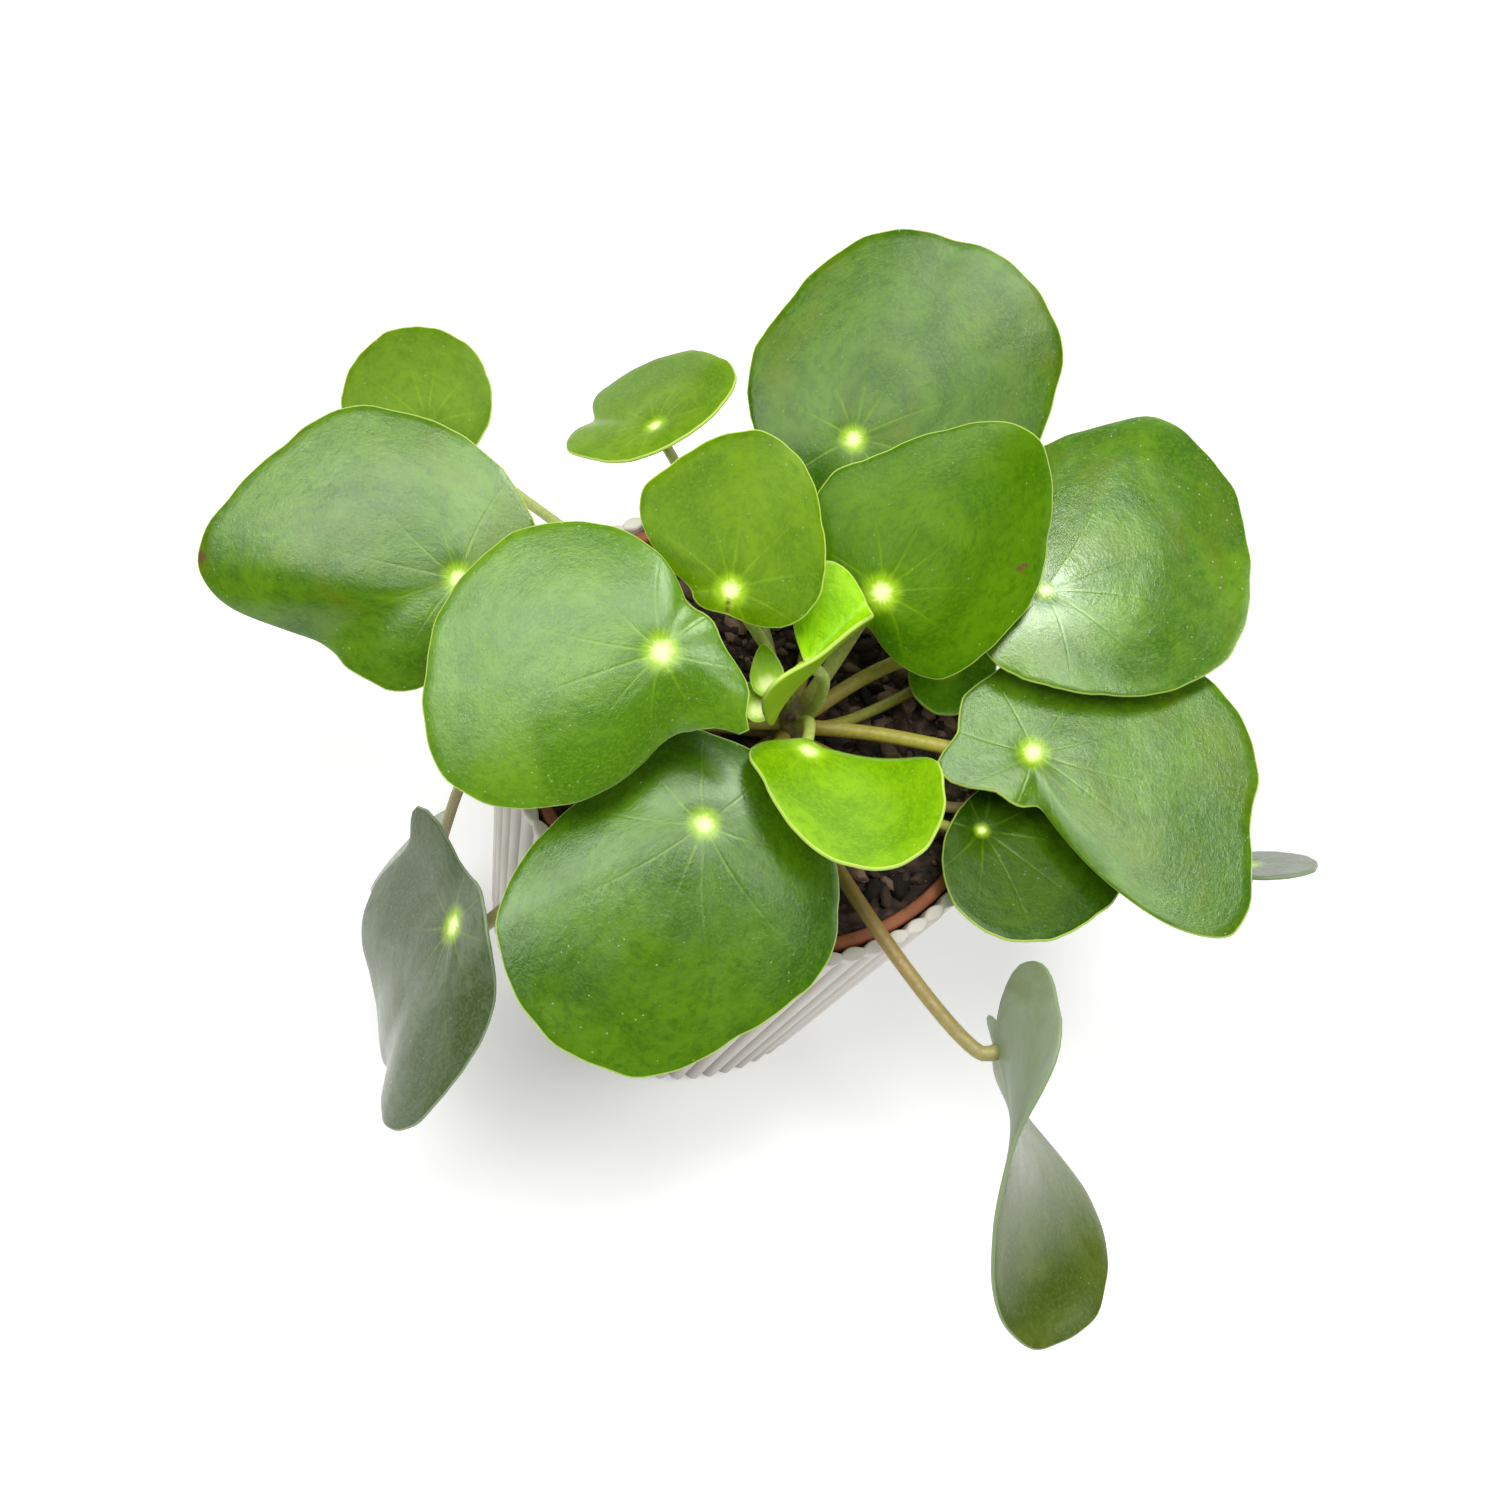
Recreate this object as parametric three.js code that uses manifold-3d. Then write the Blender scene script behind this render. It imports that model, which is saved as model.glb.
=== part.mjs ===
// A potted plant with round leaves on long stalks, in a thin fluted cover pot.
// Millimetres, +Z up. The origin is the middle of the cover pot's underside.
import * as THREE from 'three';
import { mergeVertices } from 'three/addons/utils/BufferGeometryUtils.js';
import Module from 'manifold-3d';

const wasm = await Module();
wasm.setup();

// Cover pot
const POT_HEIGHT = 108;
const POT_RIM_RADIUS = 60;
const POT_FOOT_RADIUS = 47;
const POT_WALL = 3.4;
const POT_FLOOR = 4;
const FLUTES = 66;
const FLUTE_DEPTH = 0.9;
const POINTS_PER_FLUTE = 4;

// Gap kept between pieces that rest on each other
const SEAT = 0.3;

// Nursery pot standing in the cover pot
const NURSERY_BOTTOM = POT_FLOOR + SEAT;
const NURSERY_TOP = 107;
const NURSERY_FOOT_RADIUS = 39.5;
const NURSERY_SHOULDER_Z = 95;
const NURSERY_SHOULDER_RADIUS = 51.5;
const NURSERY_WALL = 1.2;
const NURSERY_FLOOR = 1.5;
const NURSERY_LIP_HEIGHT = 11;
const NURSERY_LIP_WALL = 2.2;
const NURSERY_LIP_GAP = 0.45;
const DRAIN_HOLES = 6;
const DRAIN_RADIUS = 3;
const DRAIN_CIRCLE = 26;

// Soil and stem
const SOIL_LEVEL = 104;
const SOIL_LUMP = 0.35;
const SOIL_GAP = 0.35;
const STEM_X = 6;
const STEM_Y = 1;
const STEM_RADIUS = 5;
const STEM_BOTTOM = 80;
const STEM_TOP = 118;
const STEM_SIDES = 24;
const ROOT_INSIDE_STEM = 2.5;

// Blades and stalks
const BLADE_THICKNESS = 1;
const BIG_LEAF_TIP = 40;
const BIG_STALK_RADIUS = 1.6;
const SMALL_STALK_RADIUS = 1.3;
const BUD_STALK_RADIUS = 0.8;
const STALK_SIDES = 6;
const STALK_STEP = 11;
const STUB = 5;
const STALK_END_UNDER_BLADE = 0.2;

// Leaf colours
const MATURE = '#4d7d2f';
const DEEP = '#3c6a2a';
const YOUNG = '#8db336';
const SATIN = '#7d9468';

// Each leaf: bearing, reach and height place its spot from the stem and the pot rim. The blade leans
// toward a bearing and turns in its own plane. tip, heel, left and right are edge distances from the
// spot. A lobe is [direction, spread in degrees, growth of the edge, lift of the edge]. root is
// [bearing, height over the soil, rise in degrees] and via holds [reach, bearing, height] stops.
const LEAVES = [
  { name: 'leaf_left', color: MATURE, bearing: -168, reach: 79, height: 22,
    lean: 35, toward: -97, turn: -65, tip: 61, heel: 17, left: 24, right: 36, cup: -3, square: 2.2,
    lobes: [[26, 15, -10, -5], [-24, 20, -7, 0], [69, 13, 3, 0], [-92, 35, -2, 0]],
    root: [-170, 7, 25] },
  { name: 'leaf_upper_left', color: YOUNG, bearing: 166, reach: 108, height: 8,
    lean: 27, toward: -93, turn: -130, tip: 24, heel: 11, left: 18, right: 17, cup: -1,
    root: [165, 3, 15], stub: 8 },
  { name: 'leaf_middle_left', color: MATURE, bearing: -137, reach: 41, height: 50,
    lean: 33, toward: -103, turn: -38, tip: 50, heel: 12, left: 29, right: 32, cup: -3,
    lobes: [[71, 29, -10, -3], [121, 6, 4, -1], [-127, 25, -4, 0], [16, 14, 4, 0], [134, 23, 6, 0]],
    root: [-132, 9, 36] },
  { name: 'leaf_top', color: MATURE, bearing: 104, reach: 66, height: 25,
    lean: 30, toward: -95, turn: 172, tip: 56, heel: 19, left: 36, right: 35, cup: -3,
    lobes: [[58, 24, -3.5, 0], [14, 13, -1, 0], [-26, 15, 2, 0]], root: [102, 7, 12], stub: 10 },
  { name: 'leaf_young_middle', color: YOUNG, bearing: -173, reach: 24, height: 44,
    lean: 25, toward: -94, turn: -157, tip: 35, heel: 5, left: 25, right: 16, cup: -1,
    lobes: [[79, 26, -9, 0], [-96, 45, 8, 0], [30, 17, -4, 0]], root: [158, 11, 50] },
  { name: 'leaf_young_top', color: YOUNG, bearing: 141, reach: 75, height: 18,
    lean: 41, toward: 175, turn: -47, tip: 31, heel: 10, left: 19, right: 23, cup: -1,
    lobes: [[63, 13, 3.5, 0], [36, 8, -4, -1], [-51, 19, -2, 1]], root: [128, 3, 12] },
  { name: 'leaf_young_folded', color: YOUNG, bearing: -117, reach: 4, height: 33,
    lean: 47, toward: -161, turn: -141, tip: 17, heel: 14, left: 9.5, right: 9,
    crease: 50, creaseWidth: 2, fold: -3, foldBearing: 0, egg: 0.3, square: 2.8,
    lobes: [[90, 36, -7, 0], [140, 30, -3, -6], [28, 18, 5, 0], [180, 30, 0, -2], [-130, 40, 5, 5]],
    root: [0, 12, 85] },
  { name: 'leaf_lower_left', color: SATIN, bearing: -122, reach: 86, height: -14,
    lean: 67, toward: -153, turn: 42, tip: 49, heel: 11, left: 20, right: 46, cup: -1,
    lobes: [[-32, 12, 10, -1], [-32, 22, -7.5, -9], [-114, 15, 14, 4], [61, 36, 1, -5]],
    root: [-114, 3, 8], via: [[60, -119, 4]] },
  { name: 'leaf_bottom', color: DEEP, bearing: -99, reach: 45, height: 24,
    lean: 22, toward: -94, turn: 2, tip: 55, heel: 19, left: 37, right: 37, cup: -4,
    lobes: [[-73, 31, -11, 0], [41, 22, -5, 0]], root: [-92, 7, 35] },
  { name: 'leaf_middle_right', color: MATURE, bearing: 75, reach: 19, height: 38,
    lean: 30, toward: -81, turn: 148, tip: 42, heel: 12, left: 29, right: 24, cup: -3,
    lobes: [[6, 16, 7, 0], [50, 20, -5.5, 0], [-92, 25, 4, 0], [-146, 31, -5, 0]],
    root: [75, 11, 55] },
  { name: 'leaf_hanging', color: SATIN, bearing: -36, reach: 87, height: 5,
    lean: 80, toward: 35, turn: -69, tip: 63, heel: 17, left: 36, right: 23, twist: 30,
    lobes: [[88, 20, -26, 3], [175, 36, -13, 1], [-134, 41, 10, 3], [-86, 26, 7, 4]],
    root: [-55, 3, 12] },
  { name: 'leaf_right', color: MATURE, bearing: 47, reach: 55, height: 36,
    lean: 14, toward: -104, turn: 154, tip: 56, heel: 14, left: 33, right: 32, cup: -3,
    lobes: [[30, 10, 4.5, 0], [-12, 19, -5.5, 0], [-150, 37, 5, 0]], root: [58, 7, 15], stub: 10 },
  { name: 'leaf_small_inner', color: DEEP, bearing: 50, reach: 41, height: 6,
    lean: 11, toward: -106, turn: 100, tip: 12, heel: 8, left: 12, right: 12, root: [40, 3, 5] },
  { name: 'leaf_right_broad', color: MATURE, bearing: 12, reach: 52, height: 20,
    lean: 12, toward: -114, turn: 95, tip: 61, heel: 20, left: 41, right: 14,
    lobes: [[-34, 21, -9.5, -2], [-123, 23, 9.5, 0], [71, 19, 1.5, 0], [25, 18, -7.5, 0]],
    root: [18, 7, 10] },
  { name: 'leaf_far_right', color: SATIN, bearing: 16, reach: 118, height: -14,
    lean: 54, toward: 127, turn: -122, tip: 17, heel: 8, left: 14, right: 14,
    root: [0, 3, 4], via: [[54, 9, 4]] },
  { name: 'leaf_lower_right', color: DEEP, bearing: -6, reach: 49, height: 7,
    lean: 7, toward: -138, turn: 129, tip: 30, heel: 7, left: 22, right: 21,
    lobes: [[13, 25, 3.5, 0]], root: [-25, 7, 5], stub: 3 },
  { name: 'leaf_young_bottom', color: YOUNG, bearing: -76, reach: 23, height: 32,
    lean: 24, toward: 106, turn: -152, tip: 38, heel: 5, left: 18, right: 16, cup: -1,
    fold: 5, foldBearing: 70, lobes: [[48, 14, 2, 4], [90, 34, -1, -5], [-101, 31, 4.5, -2]],
    root: [-60, 11, 65] },
  { name: 'leaf_far_left_low', color: SATIN, bearing: -148, reach: 79, height: -56,
    lean: 67, toward: 170, turn: 102, tip: 15, heel: 14, left: 11, right: 11,
    root: [-150, 3, 8], via: [[66, -147, 4]] },
];

// Small new leaves that have only begun to open at the top of the stem
const BUDS = [
  { bearing: -147, reach: 10, height: 22, lean: 23, toward: -103, turn: -136,
    tip: 9, heel: 3, left: 3.5, right: 3.8, egg: -0.4, root: [175, 13, 86], stub: 2 },
  { bearing: -130, reach: 12, height: 17, lean: 22, toward: -103, turn: -120,
    tip: 6.5, heel: 3, left: 3, right: 4, egg: -0.3, root: [-160, 13, 78], stub: 2 },
];

// Dry stump of an old stalk on the stem
const STUMP_BEARING = -100;
const STUMP_RISE = 50;
const STUMP_Z = 115;
const STUMP_LENGTH = 8;
const STUMP_RADIUS = 1.1;

const radians = (degrees) => THREE.MathUtils.degToRad(degrees);

// Direction on the ground plane at a bearing
function heading(degrees) {
  return new THREE.Vector3(Math.cos(radians(degrees)), Math.sin(radians(degrees)), 0);
}

// Closed solid from any closed geometry
function solid(geometry) {
  const bare = new THREE.BufferGeometry();
  bare.setAttribute('position', geometry.getAttribute('position'));
  const index = geometry.getIndex();
  if (index) bare.setIndex(index);
  const merged = mergeVertices(bare, 1e-4);
  const mesh = new wasm.Mesh({
    numProp: 3,
    vertProperties: new Float32Array(merged.getAttribute('position').array),
    triVerts: new Uint32Array(merged.getIndex().array),
  });
  return new wasm.Manifold(mesh);
}

// Geometry of a solid
function geometryOf(body) {
  const mesh = body.getMesh();
  const geometry = new THREE.BufferGeometry();
  geometry.setAttribute('position', new THREE.BufferAttribute(new Float32Array(mesh.vertProperties), 3));
  geometry.setIndex(new THREE.BufferAttribute(new Uint32Array(mesh.triVerts), 1));
  geometry.computeVertexNormals();
  return geometry;
}

// Named mesh with a material of its own
function piece(name, body, color, roughness) {
  const material = new THREE.MeshStandardMaterial({ color, roughness, metalness: 0 });
  const mesh = new THREE.Mesh(geometryOf(body), material);
  mesh.name = name;
  return mesh;
}

// Turned shape about the Z axis from [radius, height] points
function turned(profile, sides) {
  const points = profile.map(([radius, z]) => new THREE.Vector2(radius, z));
  const geometry = new THREE.LatheGeometry(points, sides);
  geometry.rotateX(Math.PI / 2);
  return geometry;
}

// Upright cylinder between two heights
function post(x, y, radius, bottom, top, sides) {
  const geometry = new THREE.CylinderGeometry(radius, radius, top - bottom, sides);
  geometry.rotateX(Math.PI / 2);
  geometry.translate(x, y, (bottom + top) / 2);
  return solid(geometry);
}

// Inner radius of the cover pot at a height
function coverInside(z) {
  const radius = THREE.MathUtils.mapLinear(z, 0, POT_HEIGHT, POT_FOOT_RADIUS, POT_RIM_RADIUS);
  return radius - POT_WALL;
}

// Fluted outside of the cover pot, one ring of points at the foot and one at the rim
function flutedBlock() {
  const columns = FLUTES * POINTS_PER_FLUTE;
  const rings = [[POT_FOOT_RADIUS, 0], [POT_RIM_RADIUS, POT_HEIGHT]];
  const positions = [];
  for (const [radius, z] of rings) {
    for (let i = 0; i < columns; i += 1) {
      const round = Math.abs(Math.sin((Math.PI * i) / POINTS_PER_FLUTE));
      const r = radius - FLUTE_DEPTH * (1 - round);
      const angle = (2 * Math.PI * i) / columns;
      positions.push(r * Math.cos(angle), r * Math.sin(angle), z);
    }
  }
  positions.push(0, 0, 0, 0, 0, POT_HEIGHT);
  const bottomMiddle = 2 * columns;
  const topMiddle = bottomMiddle + 1;
  const faces = [];
  for (let i = 0; i < columns; i += 1) {
    const next = (i + 1) % columns;
    faces.push(i, next, columns + next);
    faces.push(i, columns + next, columns + i);
    faces.push(bottomMiddle, next, i);
    faces.push(topMiddle, columns + i, columns + next);
  }
  const geometry = new THREE.BufferGeometry();
  geometry.setAttribute('position', new THREE.Float32BufferAttribute(positions, 3));
  geometry.setIndex(faces);
  return geometry;
}

function coverPot() {
  const over = POT_HEIGHT + 2;
  const hollow = turned([
    [0, POT_FLOOR],
    [coverInside(POT_FLOOR), POT_FLOOR],
    [coverInside(over), over],
    [0, over],
  ], 96);
  return solid(flutedBlock()).subtract(solid(hollow));
}

// Inner outline of the nursery pot from the lip down to the middle of its floor
function nurseryInside() {
  const lipFoot = NURSERY_TOP - NURSERY_LIP_HEIGHT + 2;
  return [
    [coverInside(NURSERY_TOP) - NURSERY_LIP_GAP - NURSERY_LIP_WALL, NURSERY_TOP],
    [coverInside(lipFoot) - NURSERY_LIP_GAP - NURSERY_LIP_WALL, lipFoot],
    [NURSERY_SHOULDER_RADIUS - NURSERY_WALL, NURSERY_SHOULDER_Z],
    [NURSERY_FOOT_RADIUS - NURSERY_WALL, NURSERY_BOTTOM + NURSERY_FLOOR],
  ];
}

function nurseryPot() {
  const lipFoot = NURSERY_TOP - NURSERY_LIP_HEIGHT;
  const profile = [
    [0, NURSERY_BOTTOM],
    [NURSERY_FOOT_RADIUS, NURSERY_BOTTOM],
    [NURSERY_SHOULDER_RADIUS, NURSERY_SHOULDER_Z],
    [coverInside(lipFoot) - NURSERY_LIP_GAP, lipFoot],
    [coverInside(NURSERY_TOP) - NURSERY_LIP_GAP, NURSERY_TOP],
    ...nurseryInside(),
    [0, NURSERY_BOTTOM + NURSERY_FLOOR],
  ];
  let pot = solid(turned(profile, 48));
  for (let i = 0; i < DRAIN_HOLES; i += 1) {
    const at = heading((360 * i) / DRAIN_HOLES).multiplyScalar(DRAIN_CIRCLE);
    const hole = post(at.x, at.y, DRAIN_RADIUS, NURSERY_BOTTOM - 1, NURSERY_BOTTOM + NURSERY_FLOOR + 1, 12);
    pot = pot.subtract(hole);
  }
  return pot;
}

// Height of the soil at a place
function soilHeight(x, y) {
  const long = Math.sin(x / 7) * Math.cos(y / 9);
  const short = Math.sin(x / 3.1 + y / 4.3);
  return SOIL_LEVEL + SOIL_LUMP * (long + short);
}

function soil() {
  const [, lipFoot, shoulder, foot] = nurseryInside();
  const topRadius = coverInside(SOIL_LEVEL) - NURSERY_LIP_GAP - NURSERY_LIP_WALL - SOIL_GAP;
  const rings = [0, 8, 16, 25, 34, 43];
  const profile = [
    [0, foot[1] + SOIL_GAP],
    [foot[0] - SOIL_GAP, foot[1] + SOIL_GAP],
    [shoulder[0] - SOIL_GAP, shoulder[1]],
    [lipFoot[0] - SOIL_GAP, lipFoot[1]],
    [topRadius, SOIL_LEVEL],
    ...rings.reverse().map((radius) => [radius, SOIL_LEVEL]),
  ];
  const geometry = turned(profile, 40);
  const position = geometry.getAttribute('position');
  for (let i = 0; i < position.count; i += 1) {
    if (position.getZ(i) > SOIL_LEVEL - 0.01) {
      position.setZ(i, soilHeight(position.getX(i), position.getY(i)));
    }
  }
  const hole = post(STEM_X, STEM_Y, STEM_RADIUS + SEAT, STEM_BOTTOM - SEAT, POT_HEIGHT, STEM_SIDES);
  return solid(geometry).subtract(hole);
}

// Edge of a flat blade at an angle round it, from the spot
function edgePoint(leaf, angle) {
  const length = (leaf.tip + leaf.heel) / 2;
  const middle = (leaf.tip - leaf.heel) / 2;
  const power = 2 / (leaf.square ?? 2);
  const cosine = Math.cos(angle);
  const sine = Math.sin(angle);
  const width = sine >= 0 ? leaf.left : leaf.right;
  const x = middle + length * Math.sign(cosine) * Math.abs(cosine) ** power;
  const y = width * Math.sign(sine) * Math.abs(sine) ** power * (1 + (leaf.egg ?? 0) * cosine);
  return [x, y];
}

// How much of a lobe is felt in a direction
function lobeShare(direction, lobe) {
  const away = THREE.MathUtils.euclideanModulo(direction - lobe[0] + 180, 360) - 180;
  return Math.exp(-((away / lobe[1]) ** 2));
}

// Point of the blade's middle surface, share 0 at the spot and 1 at the edge, in the blade's own axes
function bladePoint(leaf, share, angle) {
  const [edgeX, edgeY] = edgePoint(leaf, angle);
  const direction = Math.atan2(edgeY, edgeX);
  const degrees = THREE.MathUtils.radToDeg(direction);
  let radius = Math.hypot(edgeX, edgeY);
  let z = (leaf.cup ?? 0) * share ** 2;
  for (const lobe of leaf.lobes ?? []) {
    const felt = lobeShare(degrees, lobe);
    radius += lobe[2] * felt;
    z += lobe[3] * felt * share ** 3;
  }
  const x = share * radius * Math.cos(direction);
  const y = share * radius * Math.sin(direction);
  if (leaf.crease) {
    z += Math.tan(radians(leaf.crease)) * (Math.hypot(y, leaf.creaseWidth) - leaf.creaseWidth);
  }
  if (leaf.fold) {
    const across = x * Math.cos(radians(leaf.foldBearing)) + y * Math.sin(radians(leaf.foldBearing));
    z += leaf.fold * (across / 20) ** 2;
  }
  const point = new THREE.Vector3(x, y, z);
  const twist = radians(leaf.twist ?? 0) * (x / 30);
  return point.applyAxisAngle(new THREE.Vector3(1, 0, 0), twist);
}

// Place and axes of a blade: x to the tip, z out of its upper face
function bladeFrame(leaf) {
  const lean = radians(leaf.lean);
  const toward = heading(leaf.toward);
  const up = new THREE.Vector3(0, 0, 1);
  const normal = toward.clone().multiplyScalar(Math.sin(lean)).addScaledVector(up, Math.cos(lean));
  const down = toward.clone().multiplyScalar(Math.cos(lean)).addScaledVector(up, -Math.sin(lean));
  const tipward = down.applyAxisAngle(normal, radians(leaf.turn));
  const leftward = new THREE.Vector3().crossVectors(normal, tipward);
  const spot = heading(leaf.bearing).multiplyScalar(leaf.reach);
  spot.add(new THREE.Vector3(STEM_X, STEM_Y, POT_HEIGHT + leaf.height));
  const frame = new THREE.Matrix4().makeBasis(tipward, leftward, normal).setPosition(spot);
  return { frame, normal, spot };
}

// Closed blade of even thickness, split into the same triangles on both faces
function blade(leaf, spokes, rings) {
  const middle = [bladePoint(leaf, 0, 0)];
  for (let ring = 1; ring <= rings; ring += 1) {
    for (let i = 0; i < spokes; i += 1) {
      middle.push(bladePoint(leaf, ring / rings, (2 * Math.PI * i) / spokes));
    }
  }
  const upper = [];
  for (let i = 0; i < spokes; i += 1) {
    const next = (i + 1) % spokes;
    upper.push(0, 1 + i, 1 + next);
    for (let ring = 0; ring < rings - 1; ring += 1) {
      const inner = 1 + ring * spokes;
      const outer = inner + spokes;
      upper.push(inner + i, outer + i, outer + next);
      upper.push(inner + i, outer + next, inner + next);
    }
  }
  const sheet = new THREE.BufferGeometry().setFromPoints(middle);
  sheet.setIndex(upper);
  sheet.computeVertexNormals();
  const normals = sheet.getAttribute('normal');
  const count = middle.length;
  const points = [];
  for (const side of [1, -1]) {
    middle.forEach((point, i) => {
      const normal = new THREE.Vector3().fromBufferAttribute(normals, i);
      points.push(point.clone().addScaledVector(normal, (side * BLADE_THICKNESS) / 2));
    });
  }
  const faces = [...upper];
  for (let i = 0; i < upper.length; i += 3) {
    faces.push(count + upper[i], count + upper[i + 2], count + upper[i + 1]);
  }
  const rim = 1 + (rings - 1) * spokes;
  for (let i = 0; i < spokes; i += 1) {
    const here = rim + i;
    const next = rim + ((i + 1) % spokes);
    faces.push(count + here, count + next, next);
    faces.push(count + here, next, here);
  }
  const geometry = new THREE.BufferGeometry().setFromPoints(points);
  geometry.setIndex(faces);
  geometry.applyMatrix4(bladeFrame(leaf).frame);
  return solid(geometry);
}

// Round stalk along a smooth line through stops
function tube(stops, radius, sides, step) {
  const curve = new THREE.CatmullRomCurve3(stops);
  const section = new THREE.Shape();
  for (let i = 0; i < sides; i += 1) {
    const angle = (2 * Math.PI * i) / sides;
    if (i === 0) section.moveTo(radius, 0);
    else section.lineTo(radius * Math.cos(angle), radius * Math.sin(angle));
  }
  const steps = Math.max(2, Math.round(curve.getLength() / step));
  const geometry = new THREE.ExtrudeGeometry(section, { steps, extrudePath: curve });
  return solid(geometry);
}

// Stalk from inside the stem to the underside of the blade
function stalk(leaf, radius, step) {
  const [rootBearing, rootHeight, rise] = leaf.root;
  const { normal, spot } = bladeFrame(leaf);
  const out = heading(rootBearing);
  const start = new THREE.Vector3(STEM_X, STEM_Y, SOIL_LEVEL + rootHeight);
  start.addScaledVector(out, ROOT_INSIDE_STEM);
  const leave = out.clone().multiplyScalar(Math.cos(radians(rise)));
  leave.z = Math.sin(radians(rise));
  const third = start.clone().addScaledVector(leave, 0.33 * start.distanceTo(spot));
  const stops = [start, third];
  for (const [reach, bearing, height] of leaf.via ?? []) {
    const stop = heading(bearing).multiplyScalar(reach);
    stops.push(stop.add(new THREE.Vector3(STEM_X, STEM_Y, POT_HEIGHT + height)));
  }
  stops.push(spot.clone().addScaledVector(normal, -(leaf.stub ?? STUB)));
  stops.push(spot.clone().addScaledVector(normal, -STALK_END_UNDER_BLADE));
  return tube(stops, radius, STALK_SIDES, step);
}

// Blade and stalk in one piece, ended just clear of the stem
function leafSolid(leaf, sleeve) {
  const big = leaf.tip > BIG_LEAF_TIP;
  const face = big ? blade(leaf, 36, 3) : blade(leaf, 24, 2);
  const radius = big ? BIG_STALK_RADIUS : SMALL_STALK_RADIUS;
  return face.add(stalk(leaf, radius, STALK_STEP)).subtract(sleeve);
}

// Stem with the small new leaves and the dry stump that grow from it
function stem() {
  let body = post(STEM_X, STEM_Y, STEM_RADIUS, STEM_BOTTOM, STEM_TOP, STEM_SIDES);
  for (const bud of BUDS) {
    body = body.add(blade(bud, 12, 2)).add(stalk(bud, BUD_STALK_RADIUS, 4));
  }
  const middle = new THREE.Vector3(STEM_X, STEM_Y, STUMP_Z);
  const rise = radians(STUMP_RISE);
  const along = heading(STUMP_BEARING).multiplyScalar(Math.cos(rise));
  along.z = Math.sin(rise);
  const end = middle.clone().addScaledVector(along, STUMP_LENGTH);
  return body.add(tube([middle, end], STUMP_RADIUS, STALK_SIDES, STUMP_LENGTH));
}

const group = new THREE.Group();
group.name = 'potted_plant';
group.add(piece('cover_pot', coverPot(), '#e9e6e0', 0.5));
group.add(piece('nursery_pot', nurseryPot(), '#96502f', 0.6));
group.add(piece('soil', soil(), '#2c211a', 1));
group.add(piece('stem', stem(), '#7c6a3c', 0.7));
const sleeve = post(
  STEM_X, STEM_Y, STEM_RADIUS + SEAT, STEM_BOTTOM - SEAT, STEM_TOP + SEAT, STEM_SIDES,
);
for (const leaf of LEAVES) {
  group.add(piece(leaf.name, leafSolid(leaf, sleeve), leaf.color, 0.35));
}

export default group;
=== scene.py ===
import math
import random

import bpy
import numpy as np
from mathutils import Matrix, Vector, noise


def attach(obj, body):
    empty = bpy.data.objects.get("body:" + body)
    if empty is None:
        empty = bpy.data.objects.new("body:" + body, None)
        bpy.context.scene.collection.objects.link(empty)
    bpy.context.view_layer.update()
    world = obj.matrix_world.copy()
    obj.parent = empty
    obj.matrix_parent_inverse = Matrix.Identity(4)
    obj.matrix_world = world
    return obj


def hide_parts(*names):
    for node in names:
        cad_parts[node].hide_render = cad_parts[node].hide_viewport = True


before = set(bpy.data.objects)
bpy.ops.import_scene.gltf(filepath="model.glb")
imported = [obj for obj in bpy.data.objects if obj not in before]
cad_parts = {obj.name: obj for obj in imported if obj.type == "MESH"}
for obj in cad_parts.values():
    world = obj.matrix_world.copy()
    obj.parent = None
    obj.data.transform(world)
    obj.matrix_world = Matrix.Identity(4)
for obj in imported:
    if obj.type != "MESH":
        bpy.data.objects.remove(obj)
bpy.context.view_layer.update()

# Lengths are in millimetres and angles in degrees, and meshes are scaled to metres when they are made
MM = 0.001

# Cover pot, as in the CAD model apart from its flutes, which are cut deeper into the same outline:
# FLUTE_CUT in the wall, RIM_CUT at the rim and BACK_CUT inside it
POT_HEIGHT = 108
POT_RIM_RADIUS = 60
POT_FOOT_RADIUS = 47
POT_WALL = 3.4
POT_FLOOR = 4
FLUTES = 66
FLUTE_CUT = 1.5
BACK_CUT = 1.0
RIM_CUT = 0.9
RIM_ROUND = 0.8

# Nursery pot. LIP_BEAD widens its lip inward
NURSERY_BOTTOM = 4.3
NURSERY_TOP = 107
NURSERY_FOOT_RADIUS = 39.5
NURSERY_SHOULDER_Z = 95
NURSERY_SHOULDER_RADIUS = 51.5
NURSERY_WALL = 1.2
NURSERY_FLOOR = 1.5
NURSERY_LIP_HEIGHT = 11
NURSERY_LIP_WALL = 2.2
NURSERY_LIP_GAP = 0.45
LIP_BEAD = 0.7
LIP_ROUND = 0.9
DRAIN_HOLES = 6
DRAIN_RADIUS = 3
DRAIN_CIRCLE = 26

# Soil and stem
SOIL_LEVEL = 104
SOIL_RADIUS = 52.8
SOIL_DEPTH = 12
STEM = (6, 1)
STEM_RADIUS = 5
STEM_BOTTOM = 80
STEM_TOP = 118
STEM_HOLE = 5.3
ROOT_INSIDE_STEM = 2.5
STEM_ROWS = 60
KNOB_HEIGHT = 0.4
SWELL_HEIGHT = 0.9
SWELL_WIDTH = 9
CRUMB_TRIES = 1500
CRUMB_CLEAR_OF_STEM = 9

# Blades and stalks
BLADE_THICKNESS = 1.0
DIMPLE_DEPTH = 0.5
DIMPLE_WIDTH = 3.5
BIG_LEAF_TIP = 40
BUD_TIP = 10
BIG_STALK_RADIUS = 1.8
SMALL_STALK_RADIUS = 1.4
BUD_STALK_RADIUS = 0.8
STALK_STEP = 1.6
STUB = 5

# Camera, from the place of the pot's rim in the photograph
PHOTO_SIZE = 1500
FOCAL_PIXELS = 2145
RIM_PIXEL = (761, 722)
RIM_DEPTH = 485
CAMERA_ELEVATION = 58.6
CAMERA_ROLL = 26.4

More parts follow.
